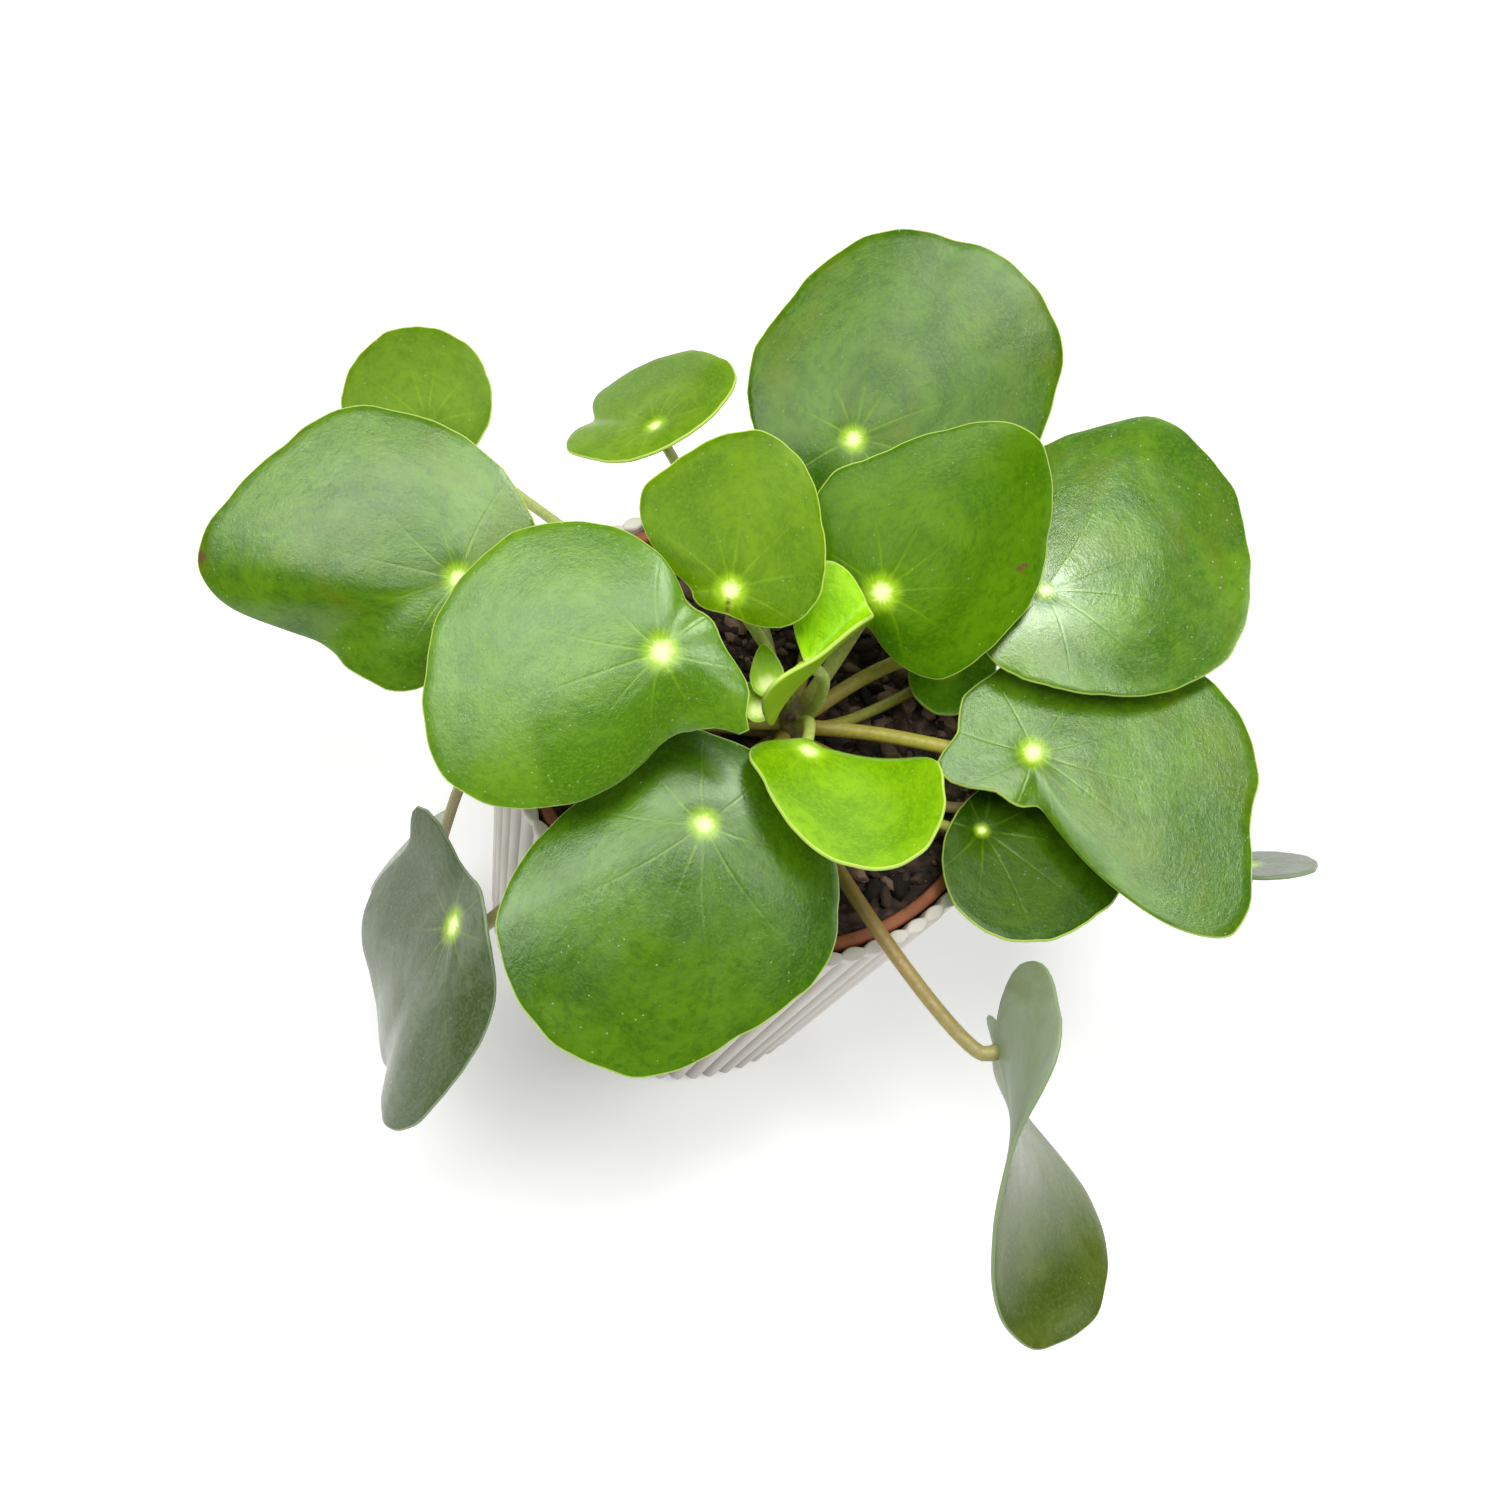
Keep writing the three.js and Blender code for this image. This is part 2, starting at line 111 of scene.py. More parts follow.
# Each leaf: bearing, reach and height place its spot from the stem and the pot rim. The blade leans
# toward a bearing and turns in its own plane. tip, heel, left and right are edge distances from the
# spot. A lobe is (direction, spread in degrees, growth of the edge, lift of the edge). root is
# (bearing, height over the soil, rise in degrees) and via holds (reach, bearing, height) stops.
# A mark is a brown blemish at (x, y) in the blade with its radius. stub is the straight end of the
# stalk below the spot, tone scales the two greens, spot the size of the pale spot, and gloss replaces
# that of the look.
LEAVES = [
    dict(name="leaf_left", look="mature", bearing=-168, reach=79, height=22,
         lean=35, toward=-97, turn=-65, tip=61, heel=17, left=24, right=36, cup=-3, square=2.2,
         lobes=[(26, 15, -10, -5), (-24, 20, -7, 0), (69, 13, 3, 0), (-92, 35, -2, 0)],
         root=(-170, 7, 25), marks=[(58, 2, 1.6)], spot=0.9),
    dict(name="leaf_upper_left", look="fresh", bearing=166, reach=108, height=8,
         lean=27, toward=-93, turn=-130, tip=24, heel=11, left=18, right=17, cup=-1,
         root=(165, 3, 15), stub=8, tone=0.72, spot=0.3, gloss=0.1),
    dict(name="leaf_middle_left", look="soft", bearing=-137, reach=41, height=50,
         lean=33, toward=-103, turn=-38, tip=50, heel=12, left=29, right=32, cup=-3,
         lobes=[(71, 29, -10, -3), (121, 6, 4, -1), (-127, 25, -4, 0), (16, 14, 4, 0), (134, 23, 6, 0)],
         root=(-132, 9, 36)),
    dict(name="leaf_top", look="mature", bearing=104, reach=66, height=25,
         lean=30, toward=-95, turn=172, tip=56, heel=19, left=36, right=35, cup=-3,
         lobes=[(58, 24, -3.5, 0), (14, 13, -1, 0), (-26, 15, 2, 0)], root=(102, 7, 12), stub=10,
         gloss=0.24, tone=0.86, spot=0.8),
    dict(name="leaf_young_middle", look="young", bearing=-173, reach=24, height=44,
         lean=25, toward=-94, turn=-157, tip=35, heel=5, left=25, right=16, cup=-1,
         lobes=[(79, 26, -9, 0), (-96, 45, 8, 0), (30, 17, -4, 0)], root=(158, 11, 50),
         marks=[(-2.6, 0.2, 0.7), (-3.9, 0.1, 0.6), (-5.2, 0, 0.4)], tone=0.52, spot=0.85, gloss=0.1),
    dict(name="leaf_young_top", look="fresh", bearing=141, reach=75, height=18,
         lean=41, toward=175, turn=-47, tip=31, heel=10, left=19, right=23, cup=-1,
         lobes=[(63, 13, 3.5, 0), (36, 8, -4, -1), (-51, 19, -2, 1)], root=(128, 3, 12), spot=0.7),
    dict(name="leaf_young_folded", look="young", bearing=-117, reach=4, height=33,
         lean=47, toward=-161, turn=-141, tip=17, heel=14, left=9.5, right=9,
         crease=50, crease_width=2, fold=-3, fold_bearing=0, egg=0.3, square=2.8,
         lobes=[(90, 36, -7, 0), (140, 30, -3, -6), (28, 18, 5, 0), (180, 30, 0, -2), (-130, 40, 5, 5)],
         root=(0, 12, 85), tone=1.35, spot=0.7),
    dict(name="leaf_lower_left", look="satin_painted_sheen", bearing=-122, reach=86, height=-14,
         lean=67, toward=-153, turn=42, tip=49, heel=11, left=20, right=46, cup=-1,
         lobes=[(-32, 12, 10, -1), (-32, 22, -7.5, -9), (-114, 15, 14, 4), (61, 36, 1, -5)],
         root=(-114, 3, 8), via=[(60, -119, 4)], tone=0.5, gloss=0.2),
    dict(name="leaf_bottom", look="deep", bearing=-99, reach=45, height=24,
         lean=22, toward=-94, turn=2, tip=55, heel=19, left=37, right=37, cup=-4,
         lobes=[(-73, 31, -11, 0), (41, 22, -5, 0)], root=(-92, 7, 35), spot=0.85, gloss=0.5),
    dict(name="leaf_middle_right", look="vivid", bearing=75, reach=19, height=38,
         lean=30, toward=-81, turn=148, tip=42, heel=12, left=29, right=24, cup=-3,
         lobes=[(6, 16, 7, 0), (50, 20, -5.5, 0), (-92, 25, 4, 0), (-146, 31, -5, 0)],
         root=(75, 11, 55), marks=[(27, -15, 0.9), (28.5, -15.5, 0.6)], tone=0.64),
    dict(name="leaf_hanging", look="olive", bearing=-36, reach=87, height=5,
         lean=80, toward=35, turn=-69, tip=63, heel=17, left=36, right=23, twist=30,
         lobes=[(88, 20, -26, 3), (175, 36, -13, 1), (-134, 41, 10, 3), (-86, 26, 7, 4), (122, 20, -13, 0)],
         root=(-55, 3, 12), stub=4, tone=0.93),
    dict(name="leaf_right", look="mature", bearing=47, reach=55, height=36,
         lean=14, toward=-104, turn=154, tip=56, heel=14, left=33, right=32, cup=-3,
         lobes=[(30, 10, 4.5, 0), (-12, 19, -5.5, 0), (-150, 37, 5, 0)], root=(58, 7, 15), stub=10,
         gloss=1.0, tone=1.15, spot=0.55),
    dict(name="leaf_small_inner", look="deep", bearing=50, reach=41, height=6,
         lean=11, toward=-106, turn=100, tip=12, heel=8, left=12, right=12, root=(40, 3, 5), tone=2.3),
    dict(name="leaf_right_broad", look="mature", bearing=12, reach=52, height=20,
         lean=12, toward=-114, turn=95, tip=61, heel=20, left=41, right=14,
         lobes=[(-34, 21, -9.5, -2), (-123, 23, 9.5, 0), (71, 19, 1.5, 0), (25, 18, -7.5, 0)],
         root=(18, 7, 10), spot=0.9, gloss=0.4),
    dict(name="leaf_far_right", look="satin_painted_sheen", bearing=16, reach=118, height=-14,
         lean=54, toward=127, turn=-122, tip=17, heel=8, left=14, right=14,
         root=(0, 3, 4), via=[(54, 9, 4)], tone=0.55, gloss=0.2),
    dict(name="leaf_lower_right", look="deep", bearing=-6, reach=49, height=7,
         lean=7, toward=-138, turn=129, tip=30, heel=7, left=22, right=21,
         lobes=[(13, 25, 3.5, 0)], root=(-25, 7, 5), stub=3, gloss=0.15, tone=0.64, spot=0.45),
    dict(name="leaf_young_bottom", look="young", bearing=-76, reach=23, height=32,
         lean=24, toward=106, turn=-152, tip=38, heel=5, left=18, right=16, cup=-1,
         fold=5, fold_bearing=70, lobes=[(48, 14, 2, 4), (90, 34, -1, -5), (-101, 31, 4.5, -2)],
         root=(-60, 11, 65), gloss=0.35),
    dict(name="leaf_far_left_low", look="satin_painted_sheen", bearing=-148, reach=79, height=-56,
         lean=67, toward=170, turn=102, tip=15, heel=14, left=11, right=11,
         root=(-150, 3, 8), via=[(66, -147, 4)]),
]

# Small new leaves at the top of the stem
BUDS = [
    dict(name="bud_upper", look="young", bearing=-147, reach=10, height=22, lean=23, toward=-103, turn=-136,
         tip=9, heel=3, left=3.5, right=3.8, egg=-0.4, root=(175, 13, 86), stub=2),
    dict(name="bud_lower", look="young", bearing=-130, reach=12, height=17, lean=22, toward=-103, turn=-120,
         tip=6.5, heel=3, left=3, right=4, egg=-0.3, root=(-160, 13, 78), stub=2),
]

# Dry stump of an old stalk
STUMP_BEARING = -100
STUMP_RISE = 50
STUMP_Z = 115
STUMP_LENGTH = 8
STUMP_RADIUS = 1.1

# Unevenness of a blade's margin: waves round it, with their heights where the margin is MARGIN_REACH
# from the spot
MARGIN_REACH = 50
MARGIN_WAVES = [(7, 0.3), (13, 0.25), (22, 0.16), (37, 0.1)]

# Blade looks: two greens of the upper face, the underside, the least value of a cell that has a speck,
# and the gloss. tan is the share of tan patches, edge the colour of the margin, shine that of the gloss.
SHINE = (0.86, 1, 0.78)
YOUNG_SHINE = (0.8, 1, 0.45)
LOOKS = {
    "mature": dict(dark=(0.035, 0.108, 0.002), light=(0.098, 0.215, 0.005), under=(0.2, 0.31, 0.1),
                   specks=0.8, gloss=0.5, tan=0.45),
    "soft": dict(dark=(0.06, 0.165, 0.004), light=(0.13, 0.275, 0.01), under=(0.22, 0.33, 0.12),
                 specks=0.6, gloss=0.5),
    "vivid": dict(dark=(0.055, 0.18, 0.001), light=(0.13, 0.31, 0.003), under=(0.22, 0.36, 0.06),
                  specks=0.9, gloss=0.15, shine=YOUNG_SHINE),
    "deep": dict(dark=(0.03, 0.095, 0.001), light=(0.08, 0.19, 0.003), under=(0.16, 0.26, 0.08),
                 specks=0.85, gloss=0.45),
    "fresh": dict(dark=(0.1, 0.22, 0.006), light=(0.18, 0.33, 0.015), under=(0.25, 0.4, 0.1),
                  specks=0.85, gloss=0.2, shine=YOUNG_SHINE),
    "young": dict(dark=(0.12, 0.29, 0.001), light=(0.24, 0.48, 0.003), under=(0.4, 0.6, 0.02),
                  specks=0.85, gloss=0.2, shine=YOUNG_SHINE),
    # The satin greens are greyed with a painted sheen, the grey of a grazing reflection
    "satin_painted_sheen": dict(dark=(0.11, 0.17, 0.05), light=(0.26, 0.33, 0.19), under=(0.28, 0.34, 0.23),
                  specks=0.9, gloss=0.4, edge=(0.24, 0.31, 0.18)),
    "olive": dict(dark=(0.055, 0.095, 0.005), light=(0.12, 0.165, 0.02), under=(0.31, 0.37, 0.28),
                  specks=0.9, gloss=0.35, edge=(0.24, 0.31, 0.16)),
}
SPOT_COLOR = (0.9, 1, 0.42)
HALO_COLOR = (0.42, 0.68, 0.02)
MARGIN_COLOR = (0.48, 0.64, 0.12)
TAN_COLOR = (0.115, 0.165, 0.002)
SPECK_COLOR = (0.62, 0.74, 0.5)
MARK_COLOR = (0.13, 0.06, 0.025)

# Stalk colours at the root, in the middle and at the top
STALK_COLORS = {
    "mature": ((0.32, 0.24, 0.04), (0.46, 0.42, 0.05), (0.5, 0.52, 0.12)),
    "deep": ((0.34, 0.24, 0.04), (0.42, 0.42, 0.06), (0.45, 0.5, 0.12)),
    "soft": ((0.34, 0.3, 0.05), (0.48, 0.48, 0.1), (0.5, 0.58, 0.14)),
    "vivid": ((0.34, 0.32, 0.05), (0.48, 0.55, 0.12), (0.5, 0.6, 0.16)),
    "fresh": ((0.34, 0.34, 0.06), (0.48, 0.55, 0.16), (0.55, 0.62, 0.24)),
    "young": ((0.36, 0.4, 0.06), (0.48, 0.6, 0.12), (0.52, 0.64, 0.16)),
    "olive": ((0.24, 0.15, 0.04), (0.3, 0.2, 0.045), (0.38, 0.34, 0.12)),
    "satin_painted_sheen": ((0.3, 0.2, 0.07), (0.36, 0.28, 0.1), (0.4, 0.38, 0.16)),
}
DRY_STALK_COLORS = ((0.12, 0.07, 0.03), (0.16, 0.09, 0.04), (0.06, 0.035, 0.02))

# Studio in metres and watts: each light's name, place, size and power
WORLD_STRENGTH = 0.14
LIGHTS = [
    ("window", (-0.38, -0.34, 1.0), (0.36, 1.0), 8.8),
    ("overhead", (-0.02, 0.12, 1.0), (0.22, 0.3), 3.4),
    ("front", (0.17, -0.24, 1.0), (0.16, 0.2), 0.9),
    ("right", (1.0, 0.3, 0.95), (0.8, 0.8), 6),
    ("back", (-0.2, 1.3, 0.9), (0.8, 0.8), 3),
]


class Graph:
    """Small helper that adds shader nodes and links them."""

    def __init__(self, name):
        self.material = bpy.data.materials.new(name)
        self.material.use_nodes = True
        self.tree = self.material.node_tree
        self.shader = self.tree.nodes["Principled BSDF"]

    def node(self, kind, **settings):
        made = self.tree.nodes.new(kind)
        for key, value in settings.items():
            setattr(made, key, value)
        return made

    def plug(self, value, socket):
        if isinstance(value, bpy.types.NodeSocket):
            self.tree.links.new(value, socket)
        elif value is not None:
            if socket.type == "RGBA" and len(value) == 3:
                value = (*value, 1)
            socket.default_value = value

    def math(self, operation, a, b=None, clamp=False):
        made = self.node("ShaderNodeMath", operation=operation, use_clamp=clamp)
        self.plug(a, made.inputs[0])
        self.plug(b, made.inputs[1])
        return made.outputs[0]

    def length(self, a, b):
        return self.math("SQRT", self.math("ADD", self.math("MULTIPLY", a, a), self.math("MULTIPLY", b, b)))

    def mix(self, share, a, b, blend="MIX"):
        made = self.node("ShaderNodeMix", data_type="RGBA", blend_type=blend)
        self.plug(share, made.inputs[0])
        self.plug(a, made.inputs[6])
        self.plug(b, made.inputs[7])
        return made.outputs[2]

    def noise(self, vector, scale, detail=3, rough=0.5, distortion=0):
        made = self.node("ShaderNodeTexNoise")
        self.plug(vector, made.inputs["Vector"])
        made.inputs["Scale"].default_value = scale
        made.inputs["Detail"].default_value = detail
        made.inputs["Roughness"].default_value = rough
        made.inputs["Distortion"].default_value = distortion
        return made.outputs[0]

    def range(self, value, low, high, to_low=0, to_high=1, smooth=False):
        made = self.node("ShaderNodeMapRange", interpolation_type="SMOOTHSTEP" if smooth else "LINEAR")
        made.clamp = True
        self.plug(value, made.inputs[0])
        for socket, number in zip(made.inputs[1:5], (low, high, to_low, to_high)):
            socket.default_value = number
        return made.outputs[0]

    def attribute(self, name):
        return self.node("ShaderNodeAttribute", attribute_name=name)

    def split(self, vector):
        made = self.node("ShaderNodeSeparateXYZ")
        self.plug(vector, made.inputs[0])
        return made.outputs

    def bump(self, height, strength, distance, below=None):
        made = self.node("ShaderNodeBump")
        made.inputs["Strength"].default_value = strength
        made.inputs["Distance"].default_value = distance
        self.plug(height, made.inputs["Height"])
        self.plug(below, made.inputs["Normal"])
        return made.outputs[0]

    def place(self):
        return self.node("ShaderNodeTexCoord").outputs["Object"]


def heading(degrees):
    angle = math.radians(degrees)
    return np.array([math.cos(angle), math.sin(angle), 0.0])


def edge_points(leaf, angles):
    """Edge of the flat blade, as distance and direction from the spot, with its lobes."""
    length = (leaf["tip"] + leaf["heel"]) / 2
    middle = (leaf["tip"] - leaf["heel"]) / 2
    power = 2 / leaf.get("square", 2)
    cosine = np.cos(angles)
    sine = np.sin(angles)
    width = np.where(sine >= 0, leaf["left"], leaf["right"])
    x = middle + length * np.sign(cosine) * np.abs(cosine) ** power
    y = width * np.sign(sine) * np.abs(sine) ** power * (1 + leaf.get("egg", 0) * cosine)
    radius = np.hypot(x, y)
    direction = np.arctan2(y, x)
    for lobe in leaf.get("lobes", []):
        radius = radius + lobe[2] * lobe_share(direction, lobe)
    for waves, height in MARGIN_WAVES:
        swing = np.sin(waves * direction + waves * leaf["seed"]) - 0.5
        radius = radius * (1 + height / MARGIN_REACH * swing)
    assert radius.min() > BLADE_THICKNESS, leaf["name"]
    return radius, direction


def lobe_share(direction, lobe):
    away = (np.degrees(direction) - lobe[0] + 180) % 360 - 180
    return np.exp(-((away / lobe[1]) ** 2))


def blade_surface(leaf, share, angles):
    """Points of the blade's middle surface in its own axes, and the flat points they come from."""
    radius, direction = edge_points(leaf, angles)
    x = share * radius * np.cos(direction)
    y = share * radius * np.sin(direction)
    z = leaf.get("cup", 0) * share**2
    for lobe in leaf.get("lobes", []):
        z = z + lobe[3] * lobe_share(direction, lobe) * share**3
    if "crease" in leaf:
        width = leaf["crease_width"]
        z = z + math.tan(math.radians(leaf["crease"])) * (np.hypot(y, width) - width)
    if "fold" in leaf:
        fold = heading(leaf["fold_bearing"])
        z = z + leaf["fold"] * ((x * fold[0] + y * fold[1]) / 20) ** 2
    twist = np.radians(leaf.get("twist", 0)) * x / 30
    bent = np.stack([x, y * np.cos(twist) - z * np.sin(twist), y * np.sin(twist) + z * np.cos(twist)], -1)
    flat = np.stack([x, y, (1 - share) * radius], -1)
    return bent, flat


def blade_frame(leaf):
    """Spot and axes of a blade: tipward, leftward, and out of its upper face."""
    lean = math.radians(leaf["lean"])
    turn = math.radians(leaf["turn"])
    toward = heading(leaf["toward"])
    up = np.array([0.0, 0.0, 1.0])
    normal = toward * math.sin(lean) + up * math.cos(lean)
    down = toward * math.cos(lean) - up * math.sin(lean)
    tipward = down * math.cos(turn) + np.cross(normal, down) * math.sin(turn)
    spot = heading(leaf["bearing"]) * leaf["reach"] + (STEM[0], STEM[1], POT_HEIGHT + leaf["height"])
    return spot, np.stack([tipward, np.cross(normal, tipward), normal])


def blade_mesh(leaf, spokes, rings):
    """Blade of even thickness with a rounded margin: points, faces and the two painting attributes."""
    half = BLADE_THICKNESS / 2
    angles = np.linspace(0, 2 * np.pi, spokes, endpoint=False)
    radius, _ = edge_points(leaf, angles)
    inset = 1 - half / radius
    levels = np.linspace(0, 1, rings + 1)[1:]
    share = levels[:, None] * inset[None, :]
    middle, flat = blade_surface(leaf, share, np.broadcast_to(angles, share.shape))
    step = 1e-3
    further, _ = blade_surface(leaf, share + step, np.broadcast_to(angles, share.shape))
    outward = (further - middle) / np.linalg.norm(further - middle, axis=-1, keepdims=True)
    beside = np.roll(middle, -1, 1) - np.roll(middle, 1, 1)
    normal = np.cross(outward, beside)
    normal /= np.linalg.norm(normal, axis=-1, keepdims=True)
    centre_normal = normal[0].mean(0) / np.linalg.norm(normal[0].mean(0))

    away = np.hypot(flat[..., 0], flat[..., 1])
    dimple = DIMPLE_DEPTH * np.exp(-((away / DIMPLE_WIDTH) ** 2))[..., None]
    origin = np.zeros(3)
    upper, lower = [middle + normal * (side * half - dimple) for side in (1, -1)]
    outer, outer_flat = middle[-1], flat[-1]
    rim = []
    for degrees in (30, 60, 90, 120, 150):
        turn = math.radians(degrees)
        ring = outer + outward[-1] * half * math.sin(turn) + normal[-1] * half * math.cos(turn)
        rim.append(ring)
    points = [origin + centre_normal * (half - DIMPLE_DEPTH)]
    paint = [origin]
    face = [1.0]
    for row in range(rings):
        points.extend(upper[row])
        paint.extend(flat[row])
        face.extend(np.ones(spokes))
    for ring in rim:
        points.extend(ring)
        paint.extend(outer_flat * (1, 1, 0))
        face.extend(np.full(spokes, 0.5))
    for row in reversed(range(rings)):
        points.extend(lower[row])
        paint.extend(flat[row])
        face.extend(np.zeros(spokes))
    points.append(origin - centre_normal * (half + DIMPLE_DEPTH))
    paint.append(origin)
    face.append(0.0)
    faces = closed_rows(2 * rings + len(rim), spokes)
    paint = np.array(paint)
    paint[0, 2] = paint[-1, 2] = radius.mean()
    spot, axes = blade_frame(leaf)
    return np.array(points) @ axes + spot, faces, paint, np.array(face)


def closed_rows(rows, columns):
    """Faces of a closed skin: a first point, rows of points round it, and a last point."""
    faces = []
    last = 1 + rows * columns
    for i in range(columns):
        k = (i + 1) % columns
        faces.append((0, 1 + i, 1 + k))
        for row in range(rows - 1):
            a = 1 + row * columns
            b = a + columns
            faces.append((a + i, b + i, b + k, a + k))
        a = 1 + (rows - 1) * columns
        faces.append((a + i, last, a + k))
    return faces


def smooth_line(stops, step):
    """Points along a centripetal Catmull-Rom curve through the stops, about a step apart."""
    stops = [np.array(stop, float) for stop in stops]
    ends = [2 * stops[0] - stops[1], *stops, 2 * stops[-1] - stops[-2]]
    line = []
    for i in range(1, len(ends) - 2):
        p = ends[i - 1:i + 3]
        t = [0.0]
        for a, b in zip(p, p[1:]):
            t.append(t[-1] + max(np.linalg.norm(b - a), 1e-6) ** 0.5)
        count = max(3, int(np.linalg.norm(p[2] - p[1]) / step) + 1)
        last = i == len(ends) - 3
        for u in np.linspace(t[1], t[2], count, endpoint=last):
            a = [((t[k + 1] - u) * p[k] + (u - t[k]) * p[k + 1]) / (t[k + 1] - t[k]) for k in range(3)]
            b = [((t[k + 2] - u) * a[k] + (u - t[k]) * a[k + 1]) / (t[k + 2] - t[k]) for k in range(2)]
            line.append(((t[2] - u) * b[0] + (u - t[1]) * b[1]) / (t[2] - t[1]))
    return np.array(line)


def tube_mesh(line, radii, sides):
    """Round tube along a line with a radius at each point, closed at both ends, and its share along."""
    tangent = np.gradient(line, axis=0)
    tangent /= np.linalg.norm(tangent, axis=1, keepdims=True)
    across = np.cross(tangent[0], (0.3, 0.5, 0.8))
    angles = np.linspace(0, 2 * np.pi, sides, endpoint=False)
    points = [line[0]]
    along = [0.0]
    for i, (place, radius) in enumerate(zip(line, radii)):
        across = across - tangent[i] * (across @ tangent[i])
        across /= np.linalg.norm(across)
        other = np.cross(tangent[i], across)
        for angle in angles:
            points.append(place + radius * (across * math.cos(angle) + other * math.sin(angle)))
            along.append(i / (len(line) - 1))
    points.append(line[-1])
    along.append(1.0)
    faces = [tuple(reversed(face)) for face in closed_rows(len(line), sides)]
    return np.array(points), faces, np.array(along)


def stalk_line(leaf, step):
    """Middle line of a stalk from inside the stem to just under the blade's upper face."""
    bearing, height, rise = leaf["root"]
    spot, axes = blade_frame(leaf)
    normal = axes[2]
    out = heading(bearing)
    start = np.array([STEM[0], STEM[1], SOIL_LEVEL + height]) + out * ROOT_INSIDE_STEM
    leave = out * math.cos(math.radians(rise)) + (0, 0, math.sin(math.radians(rise)))
    stops = [start, start + leave * 0.33 * np.linalg.norm(spot - start)]
    for reach, angle, level in leaf.get("via", []):
        stops.append(heading(angle) * reach + (STEM[0], STEM[1], POT_HEIGHT + level))
    stops += [spot - normal * leaf.get("stub", STUB), spot - normal * 0.2]
    return smooth_line(stops, step)


def make_piece(name, points, faces, attributes, materials, face_materials=None):
    """Smooth mesh object in metres that rides on the part's body."""
    mesh = bpy.data.meshes.new(name)
    mesh.from_pydata([tuple(p) for p in np.asarray(points) * MM], [], faces)
    for key, values in attributes.items():
        values = np.asarray(values, np.float32)
        kind = "FLOAT_VECTOR" if values.ndim == 2 else "FLOAT"
        layer = mesh.attributes.new(key, kind, "POINT")
        layer.data.foreach_set("vector" if values.ndim == 2 else "value", values.ravel())
    for material in materials:
        mesh.materials.append(material)
    if face_materials is not None:
        mesh.polygons.foreach_set("material_index", face_materials)
    mesh.polygons.foreach_set("use_smooth", [True] * len(mesh.polygons))
    mesh.update()
    piece = bpy.data.objects.new(name, mesh)
    bpy.context.collection.objects.link(piece)
    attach(piece, "root")
    return piece


